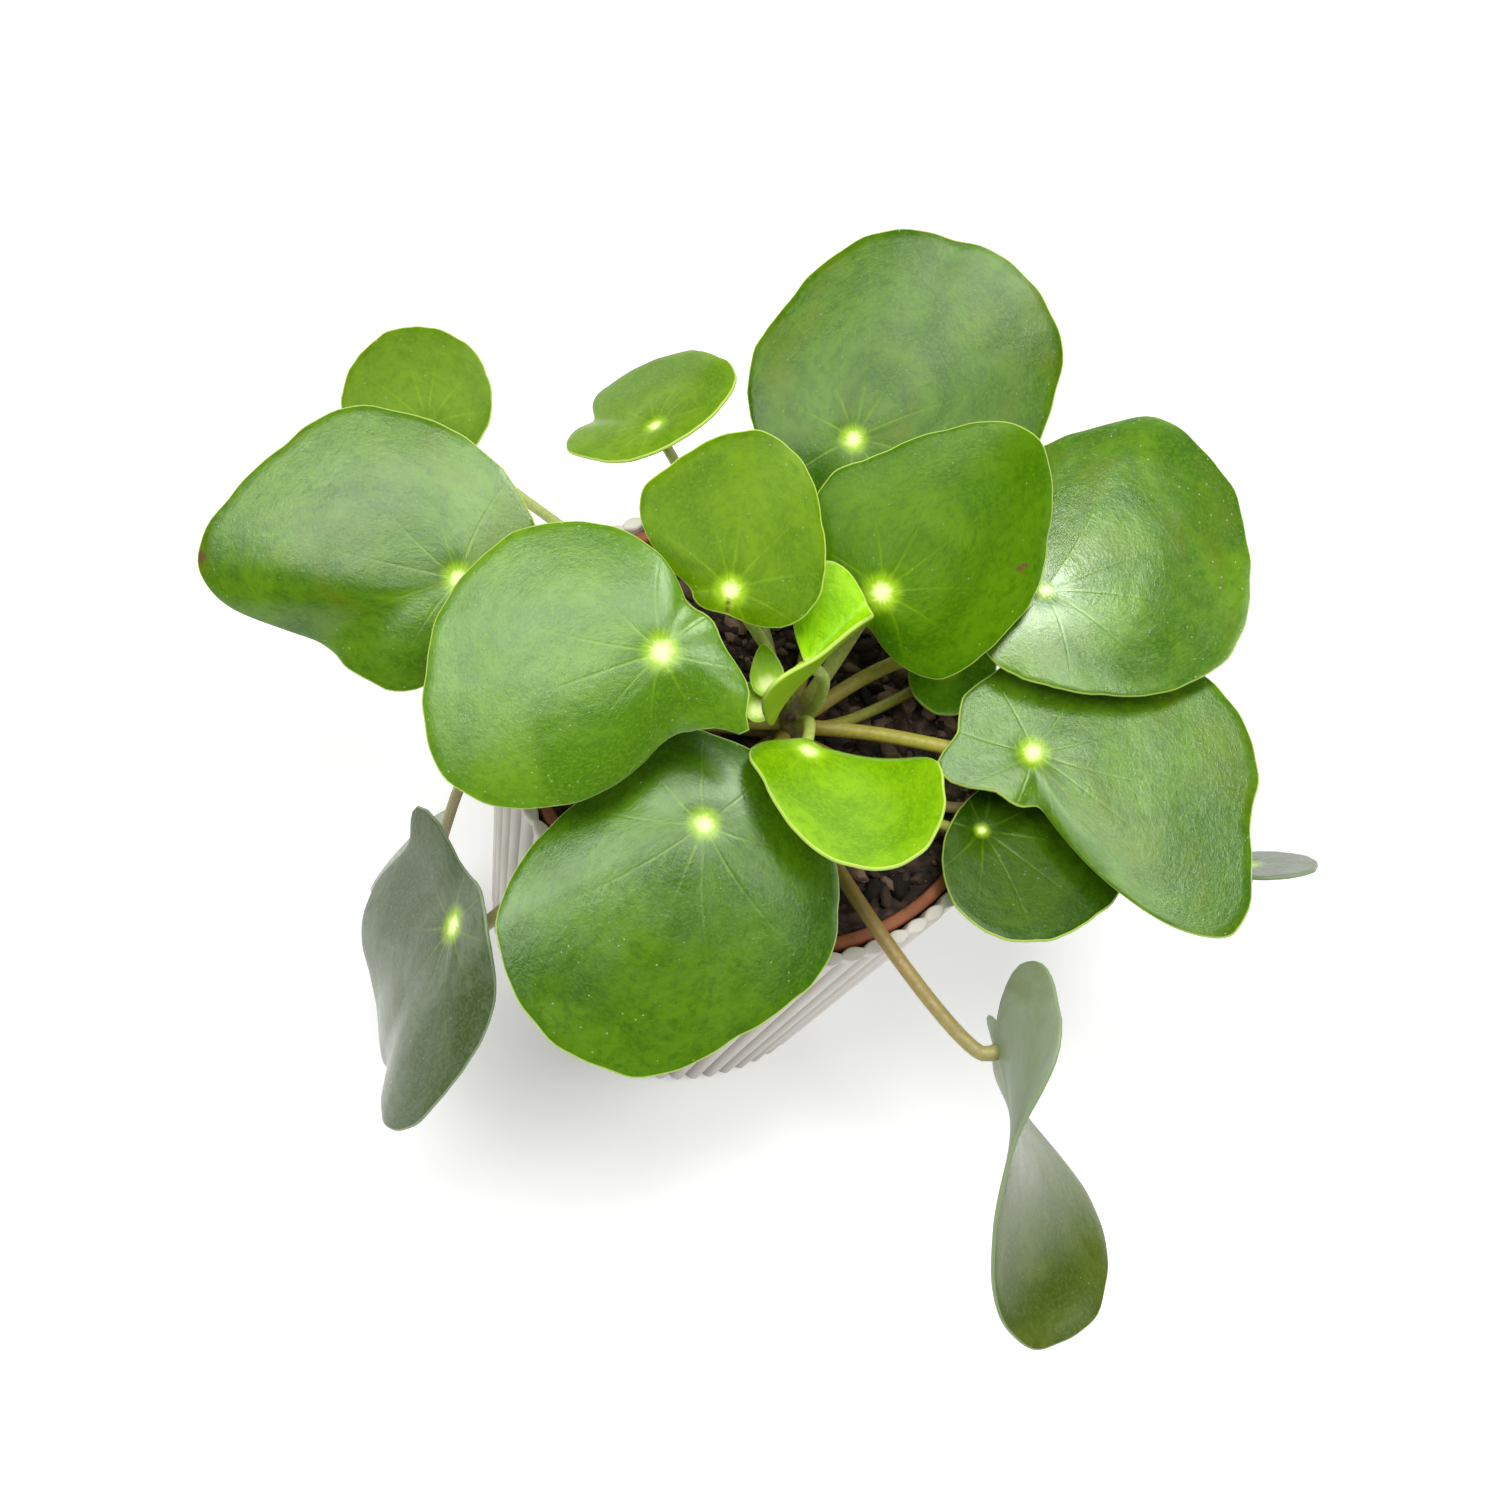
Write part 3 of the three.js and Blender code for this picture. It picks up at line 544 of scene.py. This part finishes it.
def blade_material(leaf, seed):
    """Upper face in two greens with spot, veins, specks, margin and marks, and a dull underside."""
    look = LOOKS[leaf["look"]]
    dark, light = [tuple(leaf.get("tone", 1) * part for part in look[key]) for key in ("dark", "light")]
    g = Graph(leaf["name"] + "_blade")
    flat = g.attribute("blade").outputs["Vector"]
    x, y, margin = g.split(flat)
    moved = g.node("ShaderNodeVectorMath", operation="ADD")
    g.plug(flat, moved.inputs[0])
    moved.inputs[1].default_value = (seed * 37.0, seed * 11.0, 0)
    seeded = moved.outputs[0]
    away = g.length(x, y)
    patches = g.noise(seeded, 0.04, 4, 0.6, 0.6)
    color = g.mix(g.range(patches, 0.4, 0.62), dark, light)
    fine = g.noise(seeded, 1.1, 4, 0.75)
    color = g.mix(g.range(fine, 0.45, 0.64, 0, 0.75), color, light)
    color = g.mix(g.range(g.noise(seeded, 0.35, 5, 0.75), 0.48, 0.64, 0, 0.6), color, dark)
    tan = g.range(g.noise(seeded, 0.055, 3, 0.6), 0.5, 0.66, 0, look.get("tan", 0))
    color = g.mix(tan, color, TAN_COLOR)

    # Veins fan out from the spot and bend toward the tip
    veins = None
    for direction, bend in ((0, 0), (24, 0.004), (-26, -0.004), (55, 0.007), (-58, -0.007),
                            (98, 0.009), (-96, -0.009), (145, 0.008), (-150, -0.008)):
        angle = math.radians(direction + 6 * math.sin(seed * 5 + direction))
        cosine, sine = math.cos(angle), math.sin(angle)
        along = g.math("ADD", g.math("MULTIPLY", x, cosine), g.math("MULTIPLY", y, sine))
        side = g.math("SUBTRACT", g.math("MULTIPLY", y, cosine), g.math("MULTIPLY", x, sine))
        curve = g.math("MULTIPLY", g.math("MULTIPLY", along, along), bend)
        gap = g.math("ABSOLUTE", g.math("SUBTRACT", side, curve))
        vein = g.math("MULTIPLY", g.range(gap, 0.05, 0.5, 1, 0, smooth=True), g.range(along, 2, 6))
        veins = vein if veins is None else g.math("MAXIMUM", veins, vein)
    rays = g.math("MULTIPLY", veins, g.range(away, 2, 16, 0.16, 0.02, smooth=True))
    color = g.mix(rays, color, HALO_COLOR)

    # Tiny pale specks of the upper face
    cells = g.node("ShaderNodeTexVoronoi", feature="F1")
    g.plug(seeded, cells.inputs["Vector"])
    cells.inputs["Scale"].default_value = 0.6
    dots = g.range(cells.outputs["Distance"], 0.08, 0.16, 1, 0)
    chosen = g.math("GREATER_THAN", g.split(cells.outputs["Color"])[0], look["specks"])
    specks = g.math("MULTIPLY", dots, chosen)
    color = g.mix(g.math("MULTIPLY", specks, 0.3), color, SPECK_COLOR)

    # Halo and spot where the stalk meets the blade
    scaled = g.math("DIVIDE", away, leaf.get("spot", 1))
    ragged = g.math("ADD", scaled, g.math("MULTIPLY", g.noise(seeded, 0.5, 2), 2.0))
    color = g.mix(g.range(ragged, 2.2, 6.6, 0.85, 0, smooth=True), color, HALO_COLOR)
    color = g.mix(g.range(ragged, 1.6, 3.9, 1, 0, smooth=True), color, SPOT_COLOR)

    for mark_x, mark_y, size in leaf.get("marks", []):
        gap = g.length(g.math("SUBTRACT", x, mark_x), g.math("SUBTRACT", y, mark_y))
        gap = g.math("ADD", gap, g.math("MULTIPLY", g.noise(seeded, 0.8, 3), 2.0))
        color = g.mix(g.range(gap, size + 0.4, size + 1.4, 0.85, 0, smooth=True), color, MARK_COLOR)

    under = g.mix(g.range(patches, 0.35, 0.65, 0, 0.6), look["under"], look["light"])
    under = g.mix(g.math("MULTIPLY", veins, 0.35), under, look.get("edge", MARGIN_COLOR))
    upper_face = g.range(g.attribute("face").outputs["Fac"], 0.45, 0.55)
    color = g.mix(upper_face, under, color)
    color = g.mix(g.range(margin, 0.05, 0.5, 0.85, 0, smooth=True), color, look.get("edge", MARGIN_COLOR))
    g.plug(color, g.shader.inputs["Base Color"])

    gloss = g.range(g.noise(seeded, 0.1, 4, 0.6), 0.3, 0.7, 0.13, 0.25)
    rough = g.math("ADD", gloss, g.range(upper_face, 0, 1, 0.25, 0))
    g.plug(rough, g.shader.inputs["Roughness"])
    g.shader.inputs["Specular IOR Level"].default_value = leaf.get("gloss", look["gloss"])
    g.shader.inputs["Specular Tint"].default_value = (*look.get("shine", SHINE), 1)
    normal = g.bump(g.noise(seeded, 0.03, 1, 0.4), 0.12, 0.005)
    grooves = g.math("MULTIPLY", veins, g.range(away, 2, 28, -1, -0.05))
    normal = g.bump(grooves, 0.12, 0.0003, normal)
    normal = g.bump(g.noise(seeded, 0.22, 3, 0.6), 0.08, 0.0008, normal)
    normal = g.bump(g.noise(seeded, 0.9, 4, 0.75), 0.15, 0.0004, normal)
    normal = g.bump(specks, 0.3, 0.0002, normal)
    g.plug(normal, g.shader.inputs["Normal"])
    return g.material


def stalk_material(name, base, middle, top):
    """Stalk colour runs from its brownish root to its pale top, with fine lengthwise streaks."""
    g = Graph(name)
    along = g.attribute("along").outputs["Fac"]
    color = g.mix(g.range(along, 0.0, 0.35), base, middle)
    color = g.mix(g.range(along, 0.6, 0.98), color, top)
    grain = g.noise(g.place(), 900, 3, 0.6)
    color = g.mix(g.range(grain, 0.3, 0.7, 0, 0.35), color, (0.1, 0.07, 0.02))
    g.plug(color, g.shader.inputs["Base Color"])
    g.plug(g.range(grain, 0.3, 0.7, 0.38, 0.55), g.shader.inputs["Roughness"])
    g.plug(g.bump(grain, 0.2, 0.0004), g.shader.inputs["Normal"])
    return g.material


def cover_pot_material():
    g = Graph("cover_pot_wall")
    place = g.place()
    cloud = g.noise(place, 30, 4, 0.6)
    color = g.mix(g.range(cloud, 0.35, 0.7), (0.6, 0.56, 0.5), (0.68, 0.65, 0.6))
    # Painted shade: the flute valleys are darkened, standing in for the shade that falls in them
    valley_shade = g.attribute("valley_shade").outputs["Fac"]
    color = g.mix(g.range(valley_shade, 0.1, 0.95, 0, 0.8), color, (0.26, 0.21, 0.165))
    g.plug(color, g.shader.inputs["Base Color"])
    g.plug(g.range(cloud, 0.3, 0.7, 0.38, 0.52), g.shader.inputs["Roughness"])
    g.plug(g.bump(g.noise(place, 1400, 3, 0.6), 0.12, 0.0003), g.shader.inputs["Normal"])
    return g.material


def nursery_pot_material():
    g = Graph("nursery_pot_wall")
    place = g.place()
    cloud = g.noise(place, 60, 4, 0.65)
    color = g.mix(g.range(cloud, 0.35, 0.7), (0.26, 0.075, 0.03), (0.4, 0.13, 0.05))
    dust = g.noise(place, 500, 4, 0.7)
    color = g.mix(g.range(dust, 0.55, 0.7, 0, 0.5), color, (0.07, 0.04, 0.025))
    g.plug(color, g.shader.inputs["Base Color"])
    g.plug(g.range(dust, 0.3, 0.7, 0.5, 0.7), g.shader.inputs["Roughness"])
    g.plug(g.bump(dust, 0.2, 0.0004), g.shader.inputs["Normal"])
    return g.material


def soil_material():
    g = Graph("soil_crumb")
    place = g.place()
    cloud = g.noise(place, 260, 6, 0.75)
    color = g.mix(g.range(cloud, 0.35, 0.68), (0.003, 0.002, 0.0015), (0.03, 0.017, 0.011))
    tone = g.attribute("tone").outputs["Fac"]
    color = g.mix(g.range(tone, 0.0, 1.0), color, (0.36, 0.22, 0.15))
    g.plug(color, g.shader.inputs["Base Color"])
    g.plug(g.range(cloud, 0.3, 0.7, 0.75, 0.95), g.shader.inputs["Roughness"])
    g.plug(g.bump(g.noise(place, 1500, 5, 0.7), 0.8, 0.001), g.shader.inputs["Normal"])
    return g.material


def stem_material():
    g = Graph("stem_bark")
    place = g.place()
    cloud = g.noise(place, 220, 5, 0.7)
    color = g.mix(g.range(cloud, 0.35, 0.65), (0.09, 0.06, 0.02), (0.24, 0.2, 0.07))
    g.plug(color, g.shader.inputs["Base Color"])
    g.plug(g.range(cloud, 0.3, 0.7, 0.55, 0.75), g.shader.inputs["Roughness"])
    g.plug(g.bump(cloud, 0.6, 0.001), g.shader.inputs["Normal"])
    return g.material


def turned_mesh(profile, columns, wave=None):
    """Closed skin of [radius, height] rows turned about the Z axis, between two points on the axis."""
    angles = np.linspace(0, 2 * np.pi, columns, endpoint=False)
    points = [(0, 0, profile[0][1])]
    for radius, z, *depth in profile[1:-1]:
        ring = radius - (depth[0] if depth else 0) * (wave(angles) if wave else 0)
        for r, angle in zip(np.broadcast_to(ring, angles.shape), angles):
            points.append((r * math.cos(angle), r * math.sin(angle), z))
    points.append((0, 0, profile[-1][1]))
    faces = closed_rows(len(profile) - 2, columns)
    return np.array(points), [tuple(reversed(face)) for face in faces]


def cover_inside(z):
    return POT_FOOT_RADIUS + (POT_RIM_RADIUS - POT_FOOT_RADIUS) * z / POT_HEIGHT - POT_WALL


def cover_outside(z):
    return cover_inside(z) + POT_WALL


def flute_valley(angles):
    """1 in the valleys between the flutes and 0 on their crests."""
    return 1 - np.abs(np.sin(FLUTES * angles / 2))


def make_cover_pot():
    """Thin wall of convex flutes, with a scalloped rim."""
    foot = 1.0
    top = POT_HEIGHT
    profile = [(0, 0), (POT_FOOT_RADIUS - foot, 0, FLUTE_CUT), (cover_outside(foot), foot, FLUTE_CUT)]
    for z in (30, 60, 85, top - 5 * RIM_ROUND):
        profile.append((cover_outside(z), z, FLUTE_CUT))
    for z in (top - 3 * RIM_ROUND, top - RIM_ROUND):
        profile.append((cover_outside(z), z, RIM_CUT))
    for degrees in (30, 60, 90):
        turn = math.radians(degrees)
        radius = cover_outside(top) - RIM_ROUND * (1 - math.cos(turn))
        profile.append((radius, top - RIM_ROUND * (1 - math.sin(turn)), RIM_CUT))
    for degrees in (90, 60, 30, 0):
        turn = math.radians(degrees)
        radius = cover_inside(top) + RIM_ROUND * (1 - math.cos(turn))
        profile.append((radius, top - RIM_ROUND * (1 - math.sin(turn)), -BACK_CUT))
    for z, cut in ((104, BACK_CUT), (98, BACK_CUT / 2), (88, 0), (60, 0), (30, 0), (POT_FLOOR + 1, 0)):
        profile.append((cover_inside(z), z, -cut))
    profile += [(cover_inside(POT_FLOOR) - 1, POT_FLOOR, 0.0), (0, POT_FLOOR)]
    columns = FLUTES * 12
    points, faces = turned_mesh(profile, columns, flute_valley)

    # The valleys get painted shade, darker between the flutes, but hardly at the rim and not under the foot
    # or on the floor
    shade = [0.1 if row[1] > top - 4 * RIM_ROUND else 1 for row in profile[1:-1]]
    shade[0] = shade[-1] = 0
    valleys = np.outer(shade, flute_valley(np.linspace(0, 2 * np.pi, columns, endpoint=False)))
    valleys = np.concatenate([[0], valleys.ravel(), [0]])
    pot = make_piece("cover_pot_fine", points, faces, {"valley_shade": valleys}, [cover_pot_material()])
    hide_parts("cover_pot")


def nursery_lip(z, wall):
    return cover_inside(z) - NURSERY_LIP_GAP - wall


def make_nursery_pot():
    """Plain plant pot with a rolled lip and drain holes."""
    lip = NURSERY_TOP - NURSERY_LIP_HEIGHT
    top = NURSERY_TOP
    profile = [(0, NURSERY_BOTTOM), (NURSERY_FOOT_RADIUS - 1, NURSERY_BOTTOM)]
    profile += [(NURSERY_FOOT_RADIUS, NURSERY_BOTTOM + 1), (NURSERY_SHOULDER_RADIUS, NURSERY_SHOULDER_Z)]
    profile += [(nursery_lip(lip, 0) - 0.5, lip - 0.2), (nursery_lip(lip, 0), lip + 0.5)]
    for degrees in (0, 45, 90):
        turn = math.radians(degrees)
        radius = nursery_lip(top, 0) - LIP_ROUND * (1 - math.cos(turn))
        profile.append((radius, top - LIP_ROUND * (1 - math.sin(turn))))
    for degrees in (90, 45, 0):
        turn = math.radians(degrees)
        radius = nursery_lip(top, NURSERY_LIP_WALL) - LIP_BEAD + LIP_ROUND * (1 - math.cos(turn))
        profile.append((radius, top - LIP_ROUND * (1 - math.sin(turn))))
    profile += [(nursery_lip(lip + 2, NURSERY_LIP_WALL), lip + 2)]
    profile += [(NURSERY_SHOULDER_RADIUS - NURSERY_WALL, NURSERY_SHOULDER_Z)]
    floor = NURSERY_BOTTOM + NURSERY_FLOOR
    profile += [(NURSERY_FOOT_RADIUS - NURSERY_WALL, floor), (0, floor)]
    points, faces = turned_mesh(profile, 160)
    pot = make_piece("nursery_pot_fine", points, faces, {}, [nursery_pot_material()])
    cutters = []
    for i in range(DRAIN_HOLES):
        at = heading(360 * i / DRAIN_HOLES) * DRAIN_CIRCLE * MM
        bpy.ops.mesh.primitive_cylinder_add(
            radius=DRAIN_RADIUS * MM, depth=6 * MM, location=(at[0], at[1], (floor - 1) * MM), vertices=24)
        cutters.append(bpy.context.active_object)
    bpy.ops.object.select_all(action="DESELECT")
    for cutter in cutters:
        cutter.select_set(True)
    bpy.context.view_layer.objects.active = cutters[0]
    bpy.ops.object.join()
    cutter = cutters[0]
    cut = pot.modifiers.new("drain_holes", "BOOLEAN")
    cut.operation = "DIFFERENCE"
    cut.solver = "EXACT"
    cut.object = cutter
    bpy.ops.object.select_all(action="DESELECT")
    bpy.context.view_layer.objects.active = pot
    bpy.ops.object.modifier_apply(modifier=cut.name)
    bpy.data.objects.remove(cutter, do_unlink=True)
    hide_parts("nursery_pot")


def make_soil():
    """Rough ground round the stem, with loose crumbs and bark chips on it."""
    rows, columns = 70, 280
    angles = np.linspace(0, 2 * np.pi, columns, endpoint=False)
    around = np.stack([np.cos(angles), np.sin(angles)], 1)
    inner = np.array(STEM) + STEM_HOLE * around
    outer = SOIL_RADIUS * around
    points, tones = [], []
    for row in range(rows):
        share = row / (rows - 1)
        for x, y in inner + (outer - inner) * share:
            swell = noise.fractal(Vector((x / SWELL_WIDTH, y / SWELL_WIDTH, 3)), 0.8, 2.1, 4)
            height = SWELL_HEIGHT * swell - 0.8
            tone = 0
            for size, rise, plane in ((3.4, 1.5, 3), (1.7, 0.7, 8)):
                gaps, cores = noise.voronoi(Vector((x / size, y / size, plane)))
                crumb = min(1, (gaps[1] - gaps[0]) / 0.4)
                height += rise * crumb * (0.5 + 0.5 * math.sin(9 * cores[0].x + 5 * cores[0].y))
                tone += 0.24 * crumb * (0.5 + 0.5 * math.sin(7 * cores[0].x + 11 * cores[0].y))
            points.append((x, y, SOIL_LEVEL + height))
            tones.append(tone)
    for x, y in outer:
        points.append((x, y, SOIL_LEVEL - SOIL_DEPTH))
    for x, y in inner:
        points.append((x, y, SOIL_LEVEL - SOIL_DEPTH))
    faces = []
    total = rows + 2
    for row in range(total):
        a = row * columns
        b = ((row + 1) % total) * columns
        for i in range(columns):
            k = (i + 1) % columns
            faces.append((a + i, b + i, b + k, a + k))
    points = np.array(points)
    points[rows * columns:(rows + 1) * columns, :2] *= 0.955
    tones += [0.0] * (len(points) - len(tones))
    dark = soil_material()
    ground = make_piece("soil_ground", points, faces, {"tone": tones}, [dark])
    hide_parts("soil")

    dice = random.Random(4)
    chip_points, chip_faces, tones = [], [], []
    for _ in range(CRUMB_TRIES):
        reach = SOIL_RADIUS * math.sqrt(dice.random()) * 0.985
        angle = dice.uniform(0, 2 * math.pi)
        x, y = reach * math.cos(angle), reach * math.sin(angle)
        if math.hypot(x - STEM[0], y - STEM[1]) < CRUMB_CLEAR_OF_STEM:
            continue
        size = dice.choice((0.5, 0.6, 0.8, 1.1, 1.5, 2.2))
        flat = dice.uniform(0.35, 0.8)
        long = dice.uniform(1.0, 2.0)
        if reach + size * long > SOIL_RADIUS:
            continue
        spin = Matrix.Rotation(dice.uniform(0, 6.28), 3, "Z")
        turn = spin @ Matrix.Rotation(dice.uniform(-0.4, 0.4), 3, "X")
        swell = noise.fractal(Vector((x / SWELL_WIDTH, y / SWELL_WIDTH, 3)), 0.8, 2.1, 5)
        base = Vector((x, y, SOIL_LEVEL + SWELL_HEIGHT * swell + 0.25 * size * flat))
        first = len(chip_points)
        tone = dice.choice((0.0, 0.0, 0.1, 0.2, 0.35, 0.6, 0.9)) * dice.uniform(0.7, 1)
        for corner in CHIP_POINTS:
            spread = dice.uniform(0.55, 1.25)
            local = Vector((corner[0] * long, corner[1], corner[2] * flat)) * size * spread
            chip_points.append(base + turn @ local)
            tones.append(tone)
        chip_faces += [tuple(first + i for i in face) for face in CHIP_FACES]
    crumbs = make_piece("soil_crumbs", chip_points, chip_faces, {"tone": tones}, [dark])


def icosahedron():
    """Corners and faces of a regular twenty-sided solid of radius 1."""
    golden = (1 + math.sqrt(5)) / 2
    corners = []
    for a in (-1, 1):
        for b in (-golden, golden):
            corners += [(a, b, 0), (0, a, b), (b, 0, a)]
    size = math.hypot(1, golden)
    corners = [Vector(corner) / size for corner in corners]
    near = 2 / size + 0.01
    faces = []
    for i in range(12):
        for j in range(i + 1, 12):
            for k in range(j + 1, 12):
                a, b, c = corners[i], corners[j], corners[k]
                if max((a - b).length, (b - c).length, (c - a).length) < near:
                    outward = (b - a).cross(c - a).dot(a + b + c) > 0
                    faces.append((i, j, k) if outward else (i, k, j))
    return corners, faces


CHIP_POINTS, CHIP_FACES = icosahedron()


def make_stem():
    """Short knobbly stem with the stump of an old stalk."""
    bark = stem_material()
    line = np.array([(STEM[0], STEM[1], z) for z in np.linspace(STEM_BOTTOM, STEM_TOP, STEM_ROWS)])
    radii = np.full(STEM_ROWS, STEM_RADIUS - 0.35)
    radii[-4:] *= (0.97, 0.9, 0.72, 0.4)
    points, faces, along = tube_mesh(line, radii, 40)
    centre = np.array([STEM[0], STEM[1], 0])
    for i, point in enumerate(points):
        out = (point - centre) * (1, 1, 0)
        knob = noise.noise(Vector(point / 2.6)) + 0.5 * noise.noise(Vector(point / 1.1))
        points[i] = point + out / STEM_RADIUS * KNOB_HEIGHT * knob
    stem = make_piece("stem_fine", points, faces, {"along": along}, [bark])
    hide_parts("stem")

    rise = math.radians(STUMP_RISE)
    leave = heading(STUMP_BEARING) * math.cos(rise) + (0, 0, math.sin(rise))
    middle = np.array([STEM[0], STEM[1], STUMP_Z])
    line = np.array([middle + leave * STUMP_LENGTH * share for share in np.linspace(0, 1, 12)])
    points, faces, along = tube_mesh(line, np.linspace(STUMP_RADIUS, STUMP_RADIUS * 0.8, 12), 14)
    dry = stalk_material("stump_dry", *DRY_STALK_COLORS)
    stump = make_piece("stem_stump", points, faces, {"along": along}, [dry])


def make_leaf(leaf, seed):
    """One leaf in one piece: blade and stalk with a material each."""
    leaf = dict(leaf, seed=seed)
    big = leaf["tip"] > BIG_LEAF_TIP
    bud = leaf["tip"] < BUD_TIP
    spokes, rings = (120, 22) if big else (40, 8) if bud else (96, 16)
    points, faces, paint, face = blade_mesh(leaf, spokes, rings)
    radius = BIG_STALK_RADIUS if big else BUD_STALK_RADIUS if bud else SMALL_STALK_RADIUS
    line = stalk_line(leaf, STALK_STEP)
    share = np.linspace(0, 1, len(line))
    radii = radius * (0.9 + 0.1 * (1 - share) ** 2)
    radii[-4:] *= (1.0, 1.03, 1.07, 1.1)
    stalk_points, stalk_faces, along = tube_mesh(line, radii, 14)
    count = len(points)
    faces = faces + [tuple(count + i for i in f) for f in stalk_faces]
    materials = [blade_material(leaf, seed), STALKS[leaf["look"]]]
    index = [0] * (len(faces) - len(stalk_faces)) + [1] * len(stalk_faces)
    attributes = {
        "blade": np.vstack([paint, np.zeros((len(stalk_points), 3))]),
        "face": np.concatenate([face, np.ones(len(stalk_points))]),
        "along": np.concatenate([np.zeros(count), along]),
    }
    points = np.vstack([points, stalk_points])
    piece = make_piece(leaf["name"] + "_fine", points, faces, attributes, materials, index)
    if not bud:
        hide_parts(leaf["name"])


def make_stage():
    """Pale floor, soft lights and the camera of the photograph."""
    bpy.ops.mesh.primitive_plane_add(size=6, location=(0, 0, 0))
    floor = bpy.context.active_object
    floor.name = "floor"
    g = Graph("floor_paint")
    g.plug((0.9, 0.9, 0.9), g.shader.inputs["Base Color"])
    g.shader.inputs["Roughness"].default_value = 0.9
    g.plug((1, 1, 1), g.shader.inputs["Emission Color"])
    g.shader.inputs["Emission Strength"].default_value = 0.3
    floor.data.materials.append(g.material)

    world = bpy.data.worlds.new("studio")
    bpy.context.scene.world = world
    world.use_nodes = True
    world.node_tree.nodes["Background"].inputs[0].default_value = (1, 1, 1, 1)
    world.node_tree.nodes["Background"].inputs[1].default_value = WORLD_STRENGTH
    for name, place, size, power in LIGHTS:
        light = bpy.data.lights.new(name, "AREA")
        light.shape = "RECTANGLE"
        light.size, light.size_y = size
        light.energy = power
        lamp = bpy.data.objects.new(name, light)
        bpy.context.collection.objects.link(lamp)
        lamp.location = place
        aim = Vector((0, 0, 0.12)) - Vector(place)
        lamp.rotation_euler = aim.to_track_quat("-Z", "Y").to_euler()

    elevation = math.radians(CAMERA_ELEVATION)
    roll = math.radians(CAMERA_ROLL)
    forward = Vector((0, math.cos(elevation), -math.sin(elevation)))
    level = Vector((1, 0, 0))
    upward = level.cross(forward)
    right = level * math.cos(roll) + upward * math.sin(roll)
    up = upward * math.cos(roll) - level * math.sin(roll)
    across = (RIM_PIXEL[0] - PHOTO_SIZE / 2) / FOCAL_PIXELS * RIM_DEPTH
    below = (RIM_PIXEL[1] - PHOTO_SIZE / 2) / FOCAL_PIXELS * RIM_DEPTH
    eye = Vector((0, 0, POT_HEIGHT)) - forward * RIM_DEPTH - right * across + up * below
    data = bpy.data.cameras.new("camera")
    data.sensor_fit = "HORIZONTAL"
    data.angle = 2 * math.atan(PHOTO_SIZE / 2 / FOCAL_PIXELS)
    data.clip_start = 0.01
    camera = bpy.data.objects.new("camera", data)
    bpy.context.collection.objects.link(camera)
    basis = Matrix((right, up, -forward)).transposed()
    camera.matrix_world = Matrix.Translation(eye * MM) @ basis.to_4x4()
    bpy.context.scene.camera = camera


STALKS = {look: stalk_material("stalk_" + look, *colors) for look, colors in STALK_COLORS.items()}

bpy.context.scene.view_settings.view_transform = "Standard"
make_stage()
make_cover_pot()
make_nursery_pot()
make_soil()
make_stem()
for number, leaf in enumerate(LEAVES + BUDS):
    make_leaf(leaf, number + 1)

bpy.context.view_layer.update()
